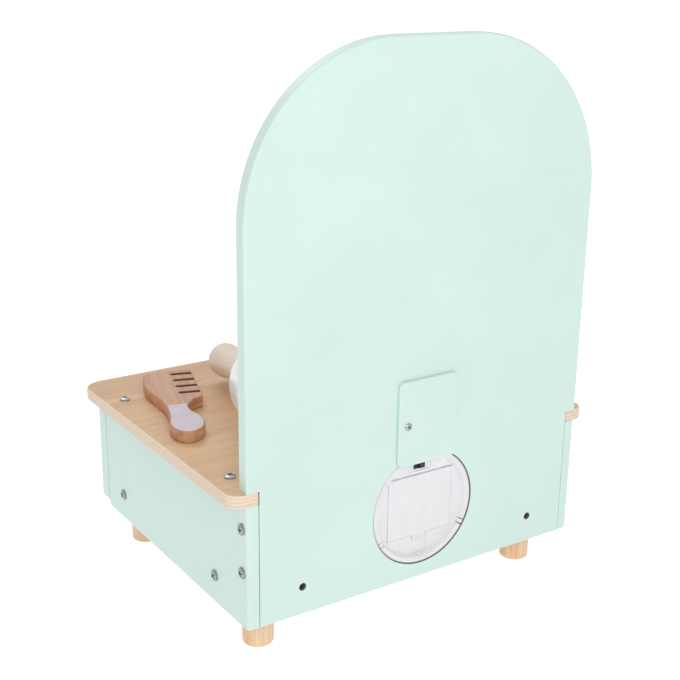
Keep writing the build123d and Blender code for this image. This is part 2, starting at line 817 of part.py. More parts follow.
def write_parts(parts):
    os.makedirs("parts", exist_ok=True)
    for name, shape in parts.items():
        solids = shape if isinstance(shape, list) else [shape]
        group = solids[0] if len(solids) == 1 else Compound(children=solids)
        group.label = name
        export_step(group, "parts/" + name + ".step")


write_parts(make_parts())
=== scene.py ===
from math import asin, atan, cos, degrees, hypot, pi, radians, sin, sqrt, tan

import bmesh
import bpy
from mathutils import Euler, Matrix, Vector


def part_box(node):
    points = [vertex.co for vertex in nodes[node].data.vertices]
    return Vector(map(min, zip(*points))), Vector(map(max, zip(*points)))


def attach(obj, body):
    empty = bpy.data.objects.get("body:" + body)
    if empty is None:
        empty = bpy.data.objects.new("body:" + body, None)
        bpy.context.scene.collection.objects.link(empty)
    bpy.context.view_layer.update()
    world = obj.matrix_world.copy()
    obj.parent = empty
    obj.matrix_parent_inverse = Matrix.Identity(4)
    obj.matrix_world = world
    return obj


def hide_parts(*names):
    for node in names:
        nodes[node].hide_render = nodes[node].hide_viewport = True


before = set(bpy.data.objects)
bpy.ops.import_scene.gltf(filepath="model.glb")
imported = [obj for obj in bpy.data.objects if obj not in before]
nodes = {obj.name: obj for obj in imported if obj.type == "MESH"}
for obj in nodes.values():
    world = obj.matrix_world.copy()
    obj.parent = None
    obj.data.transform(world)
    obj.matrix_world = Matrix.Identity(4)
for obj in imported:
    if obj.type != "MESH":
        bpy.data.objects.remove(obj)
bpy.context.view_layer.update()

scene = bpy.context.scene


# Camera
# It stands behind the table and a little above it, on the side of the right side panel, and
# looks at the back. Its place, turn and lens were fitted to the edges in the photograph.

camera_place = (0.545104, 0.835783, 0.521750)
camera_azimuth = 146.193
camera_elevation = 18.171
camera_roll = 0.796

camera_data = bpy.data.cameras.new("camera")
camera_data.sensor_width = 36.0
camera_data.lens = 64.43
camera_data.clip_end = 100.0
camera = bpy.data.objects.new("camera", camera_data)
facing = Euler((radians(90 - camera_elevation), 0, radians(camera_azimuth))).to_matrix()
facing = facing @ Matrix.Rotation(radians(camera_roll), 3, "Z")
camera.matrix_world = Matrix.Translation(camera_place) @ facing.to_4x4()
scene.collection.objects.link(camera)
scene.camera = camera
scene.view_settings.view_transform = "Standard"


# Studio
# A white sweep under an even sky of soft light, with one large soft lamp behind the table,
# above the camera, and another in front of it.

sky_level = 0.5
sky_colour = (1.0, 0.995, 0.975, 1.0)
lamp_size = 0.9
key_power = 8.9
key_place = (0.66, 1.48, 0.95)
front_power = 5.6
front_place = (0.05, -1.0, 1.55)
floor_half = 15.0
floor_colour = (0.83, 0.84, 0.92, 1)
floor_glow = 0.72
floor_bounce = 0.30


def add(tree, kind, inputs=None, **settings):
    """Adds a node and feeds its inputs with values or with other nodes' outputs."""
    node = tree.nodes.new(kind)
    for name, value in settings.items():
        setattr(node, name, value)
    for name, value in (inputs or {}).items():
        if isinstance(value, bpy.types.NodeSocket):
            tree.links.new(value, node.inputs[name])
        else:
            node.inputs[name].default_value = value
    return node


def seen_rays(tree):
    """One for what the camera, a reflection or a clear piece looks at directly, otherwise nought."""
    path = add(tree, "ShaderNodeLightPath")
    seen = path.outputs["Is Camera Ray"]
    for name in ("Is Glossy Ray", "Is Transmission Ray"):
        either = add(tree, "ShaderNodeMath", {0: seen, 1: path.outputs[name]}, operation="MAXIMUM")
        seen = either.outputs[0]
    return seen


def make_sky():
    sky = bpy.data.worlds.new("white_studio")
    sky.use_nodes = True
    tree = sky.node_tree
    light = tree.nodes["Background"]
    light.inputs["Color"].default_value = sky_colour
    light.inputs["Strength"].default_value = sky_level
    white = add(tree, "ShaderNodeBackground", {"Color": (1, 1, 1, 1), "Strength": 1.0})
    inputs = {0: seen_rays(tree), 1: light.outputs[0], 2: white.outputs[0]}
    both = add(tree, "ShaderNodeMixShader", inputs)
    tree.links.new(both.outputs[0], tree.nodes["World Output"].inputs["Surface"])
    scene.world = sky


def add_lamp(name, place, aim, power, colour):
    data = bpy.data.lights.new(name, "AREA")
    data.shape = "DISK"
    data.size = lamp_size
    data.energy = power
    data.color = colour
    lamp = bpy.data.objects.new(name, data)
    lamp.location = place
    lamp.rotation_euler = (Vector(aim) - Vector(place)).to_track_quat("-Z", "Y").to_euler()
    scene.collection.objects.link(lamp)


def new_surface(name):
    surface = bpy.data.materials.new(name)
    surface.use_nodes = True
    return surface, surface.node_tree, surface.node_tree.nodes["Principled BSDF"]


def make_floor():
    corners = [(-1, -1), (1, -1), (1, 1), (-1, 1)]
    corners = [(x * floor_half, y * floor_half, 0) for x, y in corners]
    mesh = bpy.data.meshes.new("floor")
    mesh.from_pydata(corners, [], [(0, 1, 2, 3)])
    surface, tree, shader = new_surface("white_sweep")
    tree.nodes.remove(shader)
    matt = add(tree, "ShaderNodeBsdfDiffuse", {"Color": floor_colour})
    glow = add(tree, "ShaderNodeEmission", {"Color": (1, 1, 1, 1), "Strength": floor_glow})
    lit = add(tree, "ShaderNodeEmission", {"Color": (1, 1, 1, 1), "Strength": floor_bounce})
    shown = add(tree, "ShaderNodeMixShader", {0: seen_rays(tree), 1: lit.outputs[0], 2: glow.outputs[0]})
    both = add(tree, "ShaderNodeAddShader", {0: matt.outputs[0], 1: shown.outputs[0]})
    tree.links.new(both.outputs[0], tree.nodes["Material Output"].inputs["Surface"])
    mesh.materials.append(surface)
    floor = bpy.data.objects.new("floor", mesh)
    scene.collection.objects.link(floor)


make_sky()
add_lamp("key_lamp", key_place, (0, 0.1, 0.2), key_power, (0.985, 0.99, 1.0))
add_lamp("front_lamp", front_place, (0.1, 0, 0.15), front_power, (1.0, 0.985, 0.96))
make_floor()


# Back panel
# One 12 mm board with a wide arch and a narrower tongue that stands between the sides, sprayed
# in satin mint paint. Its upper edges are rounded over, a stepped round hole takes the light
# module, and two screws through it hold it to the bottom board. The walls of its holes are bare
# board, and they and the tongue's edges beside the ears are a dark grey that paints their shade.


def middle_height(node):
    low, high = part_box(node)
    return (low[2] + high[2]) / 2


panel_low, panel_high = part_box("back_panel")
rear_y = panel_high[1]
panel_thickness = rear_y - panel_low[1]
half_width = panel_high[0]
ear_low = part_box("tabletop")[0][2]
top_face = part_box("tabletop")[1][2]
tongue_half = 0.1494
arch_radius = 0.125
panel_round = 0.002
tongue_round_share = 0.2
tongue_side = 0.13
tongue_foot = 0.04
module_z = middle_height("module_housing")
module_hole_radius = 0.04825
module_hole_bevel = 0.0005
module_seat_radius = 0.0456
module_seat_depth = 0.005
back_screw_x = 0.1125
back_screw_z = middle_height("back_screws")
back_screw_hole = 0.0029
back_screw_bevel = 0.0003
back_screw_depth = 0.003
back_screw_step = 0.001
mint = (221, 245, 235)


def tint(red, green, blue):
    """A colour as a screen shows it, 0 to 255, as the linear colour that a shader takes."""
    linear = []
    for value in (red / 255, green / 255, blue / 255):
        linear.append(value / 12.92 if value <= 0.04045 else ((value + 0.055) / 1.055) ** 2.4)
    return (*linear, 1.0)


def shade(colour, factor):
    """The same colour, darker or lighter."""
    return tuple(min(255, channel * factor) for channel in colour)


def measured(tree, size=(1, 1, 1), turn=(0, 0, 0), place=(0, 0, 0)):
    """Object coordinates counted in steps of a pattern's size, turned to lie along it."""
    where = add(tree, "ShaderNodeTexCoord").outputs["Object"]
    inputs = {"Vector": where, "Location": place, "Rotation": turn, "Scale": size}
    return add(tree, "ShaderNodeMapping", inputs, vector_type="TEXTURE").outputs[0]


def noise(tree, where, scale=1.0, detail=2.0, distortion=0.0):
    inputs = {"Vector": where, "Scale": scale, "Detail": detail, "Distortion": distortion}
    return add(tree, "ShaderNodeTexNoise", inputs).outputs[0]


def ramp(tree, factor, stops, steps=False):
    """Colour by a value from 0 to 1. Stops are pairs of value and screen colour."""
    node = add(tree, "ShaderNodeValToRGB", {"Fac": factor})
    band = node.color_ramp
    band.interpolation = "CONSTANT" if steps else "LINEAR"
    while len(band.elements) < len(stops):
        band.elements.new(1.0)
    for element, (place, colour) in zip(band.elements, stops):
        element.position = place
        element.color = tint(*colour)
    return node.outputs["Color"]


def between(tree, value, low, high, start=0.3, end=0.7):
    """Turns a pattern's value into a range, such as a range of roughness."""
    inputs = {"Value": value, "From Min": start, "From Max": end, "To Min": low, "To Max": high}
    return add(tree, "ShaderNodeMapRange", inputs).outputs[0]


def finish_surface(tree, shader, colour, roughness, height, depth, strength=0.5):
    """Feeds a shader its colour, its roughness and a bump of a real depth."""
    bump = add(tree, "ShaderNodeBump", {"Height": height, "Distance": depth, "Strength": strength})
    tree.links.new(colour, shader.inputs["Base Color"])
    tree.links.new(roughness, shader.inputs["Roughness"])
    tree.links.new(bump.outputs[0], shader.inputs["Normal"])


def mottled(name, colours, gloss, cloud, depth, relief=None, strength=0.5, size=(1, 1, 1), extra=None):
    """Surface that drifts between two colours and two roughnesses with a cloudy pattern, over a
    relief of its own or of the same pattern. Patterns are a scale, a detail and a distortion."""
    surface, tree, shader = new_surface(name)
    where = measured(tree, size)
    drift = noise(tree, where, *cloud)
    height = noise(tree, where, *relief) if relief else drift
    colour = ramp(tree, drift, [(0.3, colours[0]), (0.7, colours[1])])
    finish_surface(tree, shader, colour, between(tree, drift, *gloss), height, depth, strength)
    for socket, value in (extra or {}).items():
        shader.inputs[socket].default_value = value
    return surface


def rounded(corners, turn_step=4.0):
    """Closed outline through corners given as x, y and radius, with an arc at each rounded corner."""
    outline = []
    count = len(corners)
    for i, (x, y, radius) in enumerate(corners):
        corner = Vector((x, y))
        if radius == 0:
            outline.append((x, y))
            continue
        before = (Vector(corners[i - 1][:2]) - corner).normalized()
        after = (Vector(corners[(i + 1) % count][:2]) - corner).normalized()
        half = before.angle(after) / 2
        middle = corner + (before + after).normalized() * radius / sin(half)
        start = corner + before * radius / tan(half) - middle
        sweep = pi - 2 * half
        side = 1 if before.x * after.y - before.y * after.x < 0 else -1
        steps = max(3, round(degrees(sweep) / turn_step))
        for k in range(steps + 1):
            turned = Matrix.Rotation(side * sweep * k / steps, 2) @ start
            outline.append(tuple(middle + turned))
    return outline


def both_sides(right):
    """Corners on the right, followed by the same ones on the left."""
    return right + [(-x, y, radius) for x, y, radius in reversed(right)]


def round_hole(radius, middle, steps):
    angles = [-2 * pi * k / steps for k in range(steps)]
    return [(middle[0] + radius * cos(a), middle[1] + radius * sin(a)) for a in angles]


def rounded_rim(low, high, low_radius, high_radius=None, steps=5):
    """Stations of a board's edge from face to face: inset, the face it is measured from, shift."""
    high_radius = low_radius if high_radius is None else high_radius
    turns = [pi / 2 * k / steps for k in range(steps + 1)]
    rim = [(low_radius * (1 - sin(a)), low, low_radius * (1 - cos(a))) for a in turns]
    return rim + [(high_radius * (1 - sin(a)), high, -high_radius * (1 - cos(a))) for a in reversed(turns)]


def outward(outline):
    """How far each point moves when the outline grows by one, material being on its left."""
    moves = []
    count = len(outline)
    for i in range(count):
        here = Vector(outline[i])
        before = (here - Vector(outline[i - 1])).normalized()
        after = (Vector(outline[(i + 1) % count]) - here).normalized()
        first = Vector((before.y, -before.x))
        second = Vector((after.y, -after.x))
        middle = (first + second).normalized()
        moves.append(middle / max(0.3, middle.dot(first)))
    return moves


def skin(mesh, rings, side_slot=0):
    """Faces between each ring of points and the next. A ring of one point is a tip."""
    for near, far in zip(rings, rings[1:]):
        count = max(len(near), len(far))
        for i in range(count):
            after = (i + 1) % count
            turns = ((near, i), (near, after), (far, after), (far, i))
            corners = dict.fromkeys(ring[k % len(ring)] for ring, k in turns)
            mesh.faces.new(list(corners)).material_index = side_slot


def board(loops, place, ease=None):
    """Mesh of a board. A loop is an outline, its stations and the material slot of its side faces: the
    edge comes first, then the holes. Place turns a point of the outline and a depth into a point in
    space, and ease weakens the rounding by place."""
    mesh = bmesh.new()
    caps = ([], [])
    for outline, stations, side_slot in loops:
        moves = outward(outline)
        rings = []
        for inset, base, shift in stations:
            ring = []
            for (u, v), move in zip(outline, moves):
                weight = ease(u, v) if ease else 1.0
                back = move * inset * weight
                ring.append(mesh.verts.new(place(u - back.x, v - back.y, base + shift * weight)))
            rings.append(ring)
        skin(mesh, rings, side_slot)
        for cap, ring in zip(caps, (rings[0], rings[-1])):
            cap += [mesh.edges.get(pair) for pair in zip(ring, ring[1:] + ring[:1])]
    for cap in caps:
        bmesh.ops.triangle_fill(mesh, edges=cap, use_beauty=True)
    return mesh


def belongs(piece, node, body):
    """The piece stands for a node, which it hides, and rides a body."""
    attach(piece, body)
    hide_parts(node)


def make_piece(name, mesh, surfaces, node, body="table"):
    """Object from a closed mesh, smooth except at creases, with flat faces kept flat."""
    bmesh.ops.remove_doubles(mesh, verts=mesh.verts, dist=1e-7)
    bmesh.ops.dissolve_degenerate(mesh, edges=mesh.edges, dist=1e-7)
    bmesh.ops.recalc_face_normals(mesh, faces=mesh.faces)
    for face in mesh.faces:
        face.material_index = min(face.material_index, len(surfaces) - 1)
        face.smooth = True
    data = bpy.data.meshes.new(name)
    mesh.to_mesh(data)
    mesh.free()
    for surface in surfaces:
        data.materials.append(surface)
    data.set_sharp_from_angle(angle=radians(38.0))
    piece = bpy.data.objects.new(name, data)
    scene.collection.objects.link(piece)
    evener = piece.modifiers.new("even_faces", "WEIGHTED_NORMAL")
    evener.keep_sharp = True
    evener.weight = 50
    belongs(piece, node, body)


def behind(x, z, depth):
    """A point on the rear face of the panel, or in it by a depth."""
    return (x, rear_y - depth, z)


def stepped_hole(bevel, depth, inset):
    """Stations of a hole that is bevelled at the rear face and narrower beyond a depth."""
    return [(bevel, 0, 0), (0, 0, bevel), (0, 0, depth), (inset, 0, depth), (inset, 0, panel_thickness)]


def make_back_panel():
    low, high = panel_low[2], panel_high[2]
    shoulder = top_face + 0.002
    corners = both_sides([
        (tongue_half, low, 0),
        (tongue_half, ear_low, 0),
        (tongue_half, top_face, 0),
        (half_width, top_face, 0),
        (half_width, shoulder, 0),
        (half_width, high, arch_radius),
    ])

    def ease(x, z):
        """Full rounding, except on the tongue's own edges, which are barely eased."""
        on_edge = z <= shoulder - 0.001 and (abs(x) >= tongue_side or z <= tongue_foot)
        return tongue_round_share if on_edge else 1.0

    seat = stepped_hole(module_hole_bevel, module_seat_depth, module_seat_radius - module_hole_radius)
    sink = stepped_hole(back_screw_bevel, back_screw_depth, -back_screw_step)
    loops = [(rounded(corners, turn_step=2.0), rounded_rim(0, panel_thickness, panel_round, steps=6), 0)]
    loops.append((round_hole(module_hole_radius, (0, module_z), 144), seat, 1))
    for x in (back_screw_x, -back_screw_x):
        loops.append((round_hole(back_screw_hole, (x, back_screw_z), 40), sink, 1))
    mesh = board(loops, behind, ease)
    # The tongue's edges beside the ears take the dark grey second surface: painted shade in the seam there.
    for face in mesh.faces:
        middle = face.calc_center_median()
        if abs(middle.x) > tongue_half - 0.00005 and ear_low < middle.z < top_face - 0.001:
            face.material_index = 1
    return mesh


mint_paint = mottled(
    "mint_paint",
    (shade(mint, 0.985), shade(mint, 1.008)),
    gloss=(0.40, 0.52),
    cloud=(11.0, 3.0),
    relief=(420.0, 2.0),
    depth=0.00006,
    strength=0.6,
    extra={"Coat Weight": 0.08, "Coat Roughness": 0.25},
)
# Dark grey in the module hole, the screw holes and on the tongue's edges beside the ears: painted shade for
# these gaps, over what is bare board in the holes.
gap_painted_shade = mottled(
    "gap_painted_shade",
    ((108, 105, 99), (140, 135, 127)),
    gloss=(0.7, 0.85),
    cloud=(900.0, 3.0),
    depth=0.0001,
    strength=0.6,
)
panel_surfaces = [mint_paint, gap_painted_shade]
make_piece("back_panel_board", make_back_panel(), panel_surfaces, "back_panel")


# Side panels and rear seam
# Two 10 mm boards in the same paint. Their outer upright edges are rounded, and they stop flush
# with the rear face of the back panel, so that a fine open seam runs down beside its tongue.

side_round = 0.003
side_ease = 0.0006


def make_side_panel(node):
    low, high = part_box(node)
    radii = (side_ease, side_round) if low[0] > 0 else (side_round, side_ease)
    corners = [
        (low[0], low[1], radii[0]),
        (high[0], low[1], radii[1]),
        (high[0], high[1], radii[1]),
        (low[0], high[1], radii[0]),
    ]
    rim = rounded_rim(low[2], high[2], side_ease, steps=3)
    return board([(rounded(corners, turn_step=9.0), rim, 0)], lambda x, y, z: (x, y, z))


for side in ("right", "left"):
    node = "side_panel_" + side
    make_piece("side_board_" + side, make_side_panel(node), [mint_paint], node)


# Tabletop
# A 10 mm birch plywood board, clear-lacquered and screwed down on the sides. The front corners
# are rounded more than the rear ones, and the rear edge is cut out so that two ears wrap round
# the back panel. Its plies show all along the edge.

top_low, top_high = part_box("tabletop")
top_front_radius = 0.018
top_rear_radius = 0.012
top_rim = 0.001
notch_half = 0.1499
notch_depth = 0.0122
notch_corner = 0.0008
ply_count = 7
glue_line = 0.018
ply_pale = (253, 238, 217)
ply_tan = (249, 222, 196)
birch_colours = ((214, 175, 137), (225, 189, 150), (233, 200, 162))
birch_marks = (
    ((0.045, 0.0009, 0.0009), 3.0, (240, 233, 227), 0.30, 0.62, 0.7),
    ((0.006, 0.0007, 0.0007), 1.0, (214, 196, 180), 0.24, 0.32, 0.6),
)


def mixed(tree, factor, first, second, mode="MIX"):
    """Mixes two colours, which are outputs of other nodes."""
    inputs = {0: factor, 6: first, 7: second}
    return add(tree, "ShaderNodeMix", inputs, data_type="RGBA", blend_type=mode).outputs[2]


def wood(name, along, figure, places, colours, marks, gloss, depth, strength=0.5, paint=None):
    """Wood with its grain along a turned X axis. A figure is a size, a detail and a distortion, and
    its colours, from dark to light, lie at their places. Each kind of mark, fibres first, is a size,
    a detail, its darkest colour, the values where that starts and ends, and its weight."""
    surface, tree, shader = new_surface(name)
    broad = noise(tree, measured(tree, figure[0], along), 1.0, *figure[1:])
    colour = ramp(tree, broad, list(zip(places, colours)))
    patterns = []
    for size, detail, dark, start, end, weight in marks:
        pattern = noise(tree, measured(tree, size, along), 1.0, detail)
        darker = ramp(tree, pattern, [(start, dark), (end, (255, 255, 255))])
        colour = mixed(tree, weight, colour, darker, "MULTIPLY")
        patterns.append(pattern)
    colour = paint(tree, colour) if paint else colour
    fibres = patterns[0]
    finish_surface(tree, shader, colour, between(tree, fibres, *gloss), fibres, depth, strength)
    return surface


def birch_face(name, colours, along=(0, 0, 0), figure=(0.30, 0.016, 0.016)):
    """Rotary-cut birch: long soft figure, fine fibres, small dark flecks and clear lacquer."""
    places = (0.30, 0.50, 0.68)
    return wood(name, along, (figure, 3.0, 0.6), places, colours, birch_marks, (0.40, 0.54), 0.00005)


def ply_edge(name, low, high):
    """Sawn plywood edge: level plies, side grain and end grain by turns, with thin glue lines."""
    surface, tree, shader = new_surface(name)
    where = add(tree, "ShaderNodeTexCoord").outputs["Object"]
    height = add(tree, "ShaderNodeSeparateXYZ", {0: where}).outputs["Z"]
    wander = noise(tree, measured(tree, (0.03, 0.03, 0.03)), 1.0, 2.0)
    wavy = between(tree, wander, -0.00012, 0.00012)
    level = add(tree, "ShaderNodeMath", {0: height, 1: wavy}, operation="ADD").outputs[0]
    level = between(tree, level, 0.0, 1.0, low, high)
    stops = []
    for i in range(ply_count):
        stops.append((i / ply_count, ply_tan if i % 2 else ply_pale))
        if i < ply_count - 1:
            stops.append(((i + 1) / ply_count - glue_line, shade(ply_tan, 0.96)))
    stripes = ramp(tree, level, stops, steps=True)
    pores = noise(tree, measured(tree, (0.0007, 0.0007, 0.0003)), 1.0, 2.0)
    dust = ramp(tree, pores, [(0.34, (222, 208, 194)), (0.58, (255, 255, 255))])
    colour = mixed(tree, 0.7, stripes, dust, "MULTIPLY")
    finish_surface(tree, shader, colour, between(tree, pores, 0.5, 0.66), pores, 0.00005, 0.6)
    return surface


def make_tabletop():
    right, front, rear = top_high[0], top_low[1], top_high[1]
    corners = both_sides([
        (right, front, top_front_radius),
        (right, rear, top_rear_radius),
        (notch_half, rear, notch_corner),
        (notch_half, rear - notch_depth, notch_corner),
    ])
    rim = rounded_rim(top_low[2], top_high[2], top_rim, steps=4)
    return board([(rounded(corners), rim, 1)], lambda x, y, z: (x, y, z))


birch = birch_face("birch_ply", birch_colours)
birch_edge = ply_edge("birch_ply_edge", top_low[2], top_high[2])
make_piece("tabletop_board", make_tabletop(), [birch, birch_edge], "tabletop")


# Bottom board
# Plain 10 mm birch plywood, cut to fit between the sides. The screws in the sides and the back
# hold it, and the feet are screwed up against it.


def dress(surface, *names):
    """Gives CAD nodes their finish in every material slot."""
    for name in names:
        data = nodes[name].data
        if not data.materials:
            data.materials.append(surface)
        for i in range(len(data.materials)):
            data.materials[i] = surface


dress(birch_face("bottom_birch", birch_colours, figure=(0.25, 0.02, 0.02)), "bottom_board")


# Feet
# Four beech pegs turned on a lathe, lightly lacquered, with a soft round at the lower end. Each
# is held by a screw down through the bottom board.

foot_round = 0.002
foot_bevel = 0.0003
beech_colours = ((250, 207, 164), (255, 218, 178), (255, 226, 189))
beech_marks = (
    ((0.030, 0.0008, 0.0008), 3.0, (234, 221, 209), 0.32, 0.62, 0.8),
    ((0.0028, 0.00045, 0.00045), 1.0, (196, 158, 126), 0.26, 0.33, 0.7),
)


def circle(mesh, origin, turn, radius, height, steps):
    """Ring of points about a turned axis, or one point where it has no radius."""
    angles = [2 * pi * k / steps for k in range(steps)] if radius else [0]
    points = [Vector((radius * cos(a), radius * sin(a), height)) for a in angles]
    return [mesh.verts.new(Vector(origin) + turn @ point) for point in points]


def turned_form(mesh, profile, origin, way, steps=96):
    """Turns an outline of radius and height about an axis. Its ends lie on the axis."""
    turn = Vector(way).to_track_quat("Z", "Y").to_matrix()
    skin(mesh, [circle(mesh, origin, turn, radius, height, steps) for radius, height in profile])
    return mesh


def beech_wood(name, along=(0, radians(90), 0)):
    """Beech: straight grain with the short dark flecks of its rays, lightly lacquered."""
    figure = ((0.16, 0.009, 0.009), 2.0, 0.3)
    places = (0.30, 0.48, 0.66)
    return wood(name, along, figure, places, beech_colours, beech_marks, (0.36, 0.50), 0.00004)


def foot_profile(radius, height):
    profile = [(0, 0)]
    for k in range(9):
        angle = radians(90 * k / 8 - 90)
        profile.append((radius - foot_round + foot_round * cos(angle), foot_round + foot_round * sin(angle)))
    return profile + [(radius, height - foot_bevel), (radius - foot_bevel, height), (0, height)]


beech = beech_wood("beech")
for corner in ("rear_right", "rear_left", "front_right", "front_left"):
    low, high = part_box("foot_" + corner)
    middle = ((low[0] + high[0]) / 2, (low[1] + high[1]) / 2, 0)
    form = turned_form(bmesh.new(), foot_profile((high[0] - low[0]) / 2, high[2]), middle, (0, 0, 1))
    make_piece("beech_peg_" + corner, form, [beech], "foot_" + corner)


# Cover plate
# Thin painted plate with rounded corners, screwed over the channel that the wires run in. Its
# back edge is relieved, which leaves a fine dark line round it.

plate_low, plate_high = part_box("cover_plate")
plate_corner = 0.005
plate_round = 0.0008
plate_groove = 0.0007
plate_groove_depth = 0.0014


def upright_sheet(low, high, radius):
    """Corners of an upright sheet, from its box, all with one radius."""
    places = ((high[0], low[2]), (high[0], high[2]), (low[0], high[2]), (low[0], low[2]))
    return [(x, z, radius) for x, z in places]


def make_cover_plate():
    outline = rounded(upright_sheet(plate_low, plate_high, plate_corner))
    rim = rounded_rim(rear_y - plate_high[1], 0, plate_round, steps=4)[:5]
    rim += [(0, 0, -plate_groove), (plate_groove_depth, 0, -plate_groove), (plate_groove_depth, 0, 0)]
    return board([(outline, rim, 0)], behind)


make_piece("cover_plate_panel", make_cover_plate(), [mint_paint], "cover_plate")


# Light and battery module
# A round moulding in white plastic: rim with snap tabs, sloping wall and a recessed floor with a
# seat for the battery door, a thumb recess and the slot for the switch. It is snapped into the
# stepped hole.

module_white = (241, 239, 240)
switch_black = (34, 34, 36)
flow_mark = 0.012


def moulded_plastic(name, colour, roughness, inner_light=0.0):
    """Injection-moulded plastic: spark-eroded texture, faint flow marks, some light inside it."""
    return mottled(
        name,
        (shade(colour, 1 - flow_mark), shade(colour, 1 + flow_mark)),
        gloss=(roughness - 0.05, roughness + 0.06),
        cloud=(34.0, 3.0, 0.8),
        relief=(1800.0, 2.0),
        depth=0.00004,
        extra={"Subsurface Weight": inner_light, "Subsurface Radius": (0.003, 0.003, 0.003)},
    )


white_plastic = moulded_plastic("white_plastic", module_white, 0.38, 0.35)
black_plastic = moulded_plastic("black_plastic", switch_black, 0.42)
door_plastic = moulded_plastic("door_plastic", shade(module_white, 1.005), 0.34, 0.35)
dress(white_plastic, "module_housing", "module_inner_cover")
dress(door_plastic, "battery_door")
dress(black_plastic, "switch_body", "switch_slider")


# Circuit board
# Green fibreglass board behind the battery bay, with its chip, capacitors and resistors. It is
# screwed to the module's inner cover.


def solder_mask(name):
    """Green lacquer over copper: darker over bare board, lighter over the tracks."""
    surface, tree, shader = new_surface(name)
    inputs = {"Vector": measured(tree, (0.006, 0.006, 0.006)), "Scale": 1.0}
    tracks = add(tree, "ShaderNodeTexBrick", inputs).outputs["Fac"]
    colours = ramp(tree, tracks, [(0.2, (26, 96, 58)), (0.8, (48, 128, 78))])
    weave = noise(tree, measured(tree), 900.0, 1.0)
    finish_surface(tree, shader, colours, between(tree, weave, 0.28, 0.4), weave, 0.00003, 0.6)
    return surface


dress(solder_mask("green_board"), "circuit_board")


# Batteries and contacts
# Three small cells side by side, in plain dark sleeves, every other one turned round. They are
# held between nickel plates and coiled springs that sit in the walls of the bay.

cell_radius = 0.0071
cell_length = 0.0492
cell_pitch = 0.0152
cell_middle_y = rear_y - 0.0142
cell_shift = 0.0024
cell_row_z = module_z + 0.001
button_radius = 0.0027
button_height = 0.0012
bay_half = 0.0288
contact_size = 0.011
contact_thickness = 0.0006
spring_wire = 0.00035
spring_wide = 0.0044
spring_narrow = 0.0024
spring_turns = 5
cell_ways = {-1: 1, 0: -1, 1: 1}


def bright_metal(name, colour, roughness):
    """Plated metal with fine drawn marks."""
    return mottled(
        name,
        (shade(colour, 0.94), colour),
        gloss=(roughness - 0.06, roughness + 0.08),
        cloud=(1.0, 2.0),
        depth=0.00001,
        size=(0.004, 0.0002, 0.0002),
        extra={"Metallic": 1.0},
    )


def cell_profile():
    """A can with a rolled edge at each end and a button at one of them."""
    half = cell_length / 2
    tip = half + button_height
    return [
        (0, -half),
        (cell_radius - 0.0012, -half),
        (cell_radius - 0.0004, -half + 0.0003),
        (cell_radius, -half + 0.0012),
        (cell_radius, half - 0.0008),
        (cell_radius - 0.0005, half - 0.0001),
        (cell_radius - 0.0014, half),
        (button_radius, half),
        (button_radius, tip - 0.0002),
        (button_radius - 0.0003, tip),
        (0, tip),
    ]


def make_cells():
    """Cans in metal at the ends and wrapped between them."""
    mesh = bmesh.new()
    half = cell_length / 2
    for i, way in cell_ways.items():
        middle = (way * cell_shift, cell_middle_y, cell_row_z + i * cell_pitch)
        first = len(mesh.faces)
        turned_form(mesh, cell_profile(), middle, (way, 0, 0), 48)
        mesh.faces.ensure_lookup_table()
        for face in mesh.faces[first:]:
            offset = face.calc_center_median() - Vector(middle)
            along = offset.x * way
            away = hypot(offset.y, offset.z)
            wrapped = -half + 0.0005 < along < half - 0.0004 and away > cell_radius - 0.0003
            face.material_index = 0 if wrapped else 1
    return mesh


def tube(mesh, path, radius, sides=8):
    """Closed round wire along a path of points."""
    rings = []
    for i, point in enumerate(path):
        ahead = Vector(path[min(i + 1, len(path) - 1)]) - Vector(path[max(i - 1, 0)])
        turn = ahead.normalized().to_track_quat("Z", "Y").to_matrix()
        rings.append(circle(mesh, point, turn, radius, 0, sides))
    skin(mesh, rings)
    mesh.faces.new(list(reversed(rings[0])))
    mesh.faces.new(rings[-1])


def make_contacts():
    """Flat plates at both ends of each cell and a coned spring at the end without a button."""
    mesh = bmesh.new()
    size = (contact_thickness, contact_size, contact_size)
    for i, way in cell_ways.items():
        z = cell_row_z + i * cell_pitch
        for end in (1, -1):
            middle = Vector((end * (bay_half - contact_thickness / 2), cell_middle_y, z))
            for vert in bmesh.ops.create_cube(mesh, size=1.0)["verts"]:
                vert.co = middle + Vector([side * length for side, length in zip(vert.co, size)])
        start = -way * (bay_half - 0.0007)
        reach = way * cell_shift - way * cell_length / 2 - start
        path = []
        steps = spring_turns * 20
        for k in range(steps + 1):
            part = k / steps
            radius = spring_wide - (spring_wide - spring_narrow) * part
            angle = 2 * pi * spring_turns * part
            path.append((start + reach * part, cell_middle_y + radius * cos(angle), z + radius * sin(angle)))
        tube(mesh, path, spring_wire)
    return mesh


battery_skin = mottled(
    "battery_skin",
    ((44, 46, 50), (58, 60, 64)),
    gloss=(0.26, 0.36),
    cloud=(120.0, 2.0),
    depth=0.00002,
    strength=0.4,
    extra={"Coat Weight": 0.3},
)
cell_surfaces = [battery_skin, bright_metal("cell_metal", (205, 206, 208), 0.26)]
make_piece("three_cells", make_cells(), cell_surfaces, "batteries")
contact_metal = bright_metal("contact_metal", (200, 198, 190), 0.3)
make_piece("contact_springs", make_contacts(), [contact_metal], "battery_contacts")


# Mirror and its light
# A 3 mm acrylic mirror with polished edges, glued on inside a milky ring that spreads the light
# of a strip of small lamps.

light_margin = half_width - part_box("light_diffuser")[1][0]
light_width = 0.009
light_base_radius = 0.018
light_round = 0.0015
mirror_edge = 0.0005
mirror_gap = 0.0003
glued_edge = 0.00005
strip_colour = (236, 232, 214)


